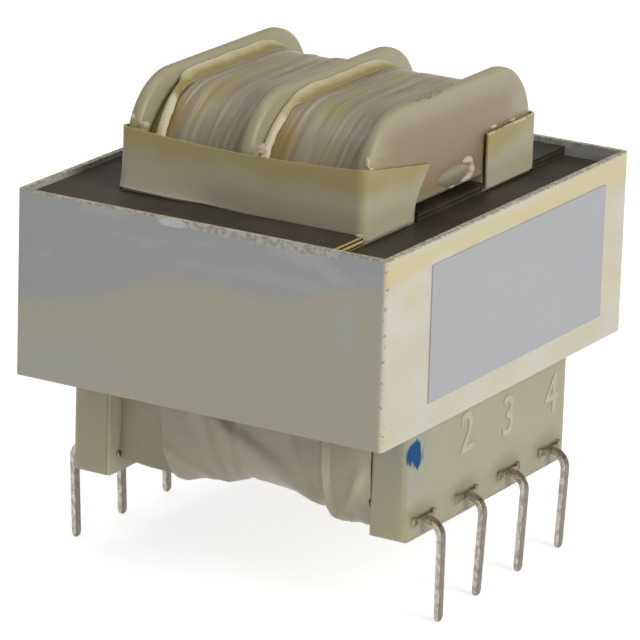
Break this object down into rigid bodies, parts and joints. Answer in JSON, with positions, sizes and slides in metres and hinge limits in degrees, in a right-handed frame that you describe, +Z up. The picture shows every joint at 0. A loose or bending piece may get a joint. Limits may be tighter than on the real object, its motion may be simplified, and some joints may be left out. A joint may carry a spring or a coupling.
{
  "type": "pcb transformer",
  "caption": "Board-mount mains transformer: laminated core in a pale band, a split bobbin whose rounded flanges stand above it, and strip terminals under its end blocks.",
  "frame": {"origin": "On the plane of the terminal tips, midway between the two rows of terminals and midway along them.", "axes": "X runs along the coil's axis with the label's side at +X, Y runs from the front to the rear along the rows of terminals, Z is up, away from the board."},
  "size_m": [0.0321, 0.0362, 0.037],
  "materials": {
    "nylon": "satin off-white moulded nylon",
    "lamination_steel": "dark varnished silicon steel",
    "band_stock": "coated pale stock",
    "label_stock": "blank pale label",
    "copper_wire": "enamelled copper wire",
    "polyester_tape": "translucent tape over copper",
    "crepe_paper": "cream crepe paper",
    "insulation_paper": "cream insulation paper",
    "tinned_strip": "tinned strip metal"
  },
  "bodies": {
    "root": {"bobbin": "nylon", "core_e_packets_left": "lamination_steel", "core_e_packets_right": "lamination_steel", "core_i_packets_left": "lamination_steel", "core_i_packets_right": "lamination_steel", "core_band": "band_stock", "rating_label": "label_stock", "primary_winding": "copper_wire", "primary_tape": "polyester_tape", "secondary_winding": "copper_wire", "secondary_tape": "polyester_tape", "margin_strip_left": "crepe_paper", "margin_strip_middle": "crepe_paper", "insulation_paper_front": "insulation_paper", "insulation_paper_rear": "insulation_paper", "lower_wrap": "crepe_paper", "terminal_pin_1": "tinned_strip", "terminal_pin_2": "tinned_strip", "terminal_pin_3": "tinned_strip", "terminal_pin_4": "tinned_strip", "terminal_pin_5": "tinned_strip", "terminal_pin_6": "tinned_strip", "terminal_pin_7": "tinned_strip", "terminal_pin_8": "tinned_strip", "lead_wire_1": "copper_wire", "lead_wire_2": "copper_wire", "lead_wire_3": "copper_wire", "lead_wire_4": "copper_wire", "lead_wire_5": "copper_wire", "lead_wire_6": "copper_wire", "lead_wire_7": "copper_wire", "lead_wire_8": "copper_wire"}
  },
  "joints": []
}
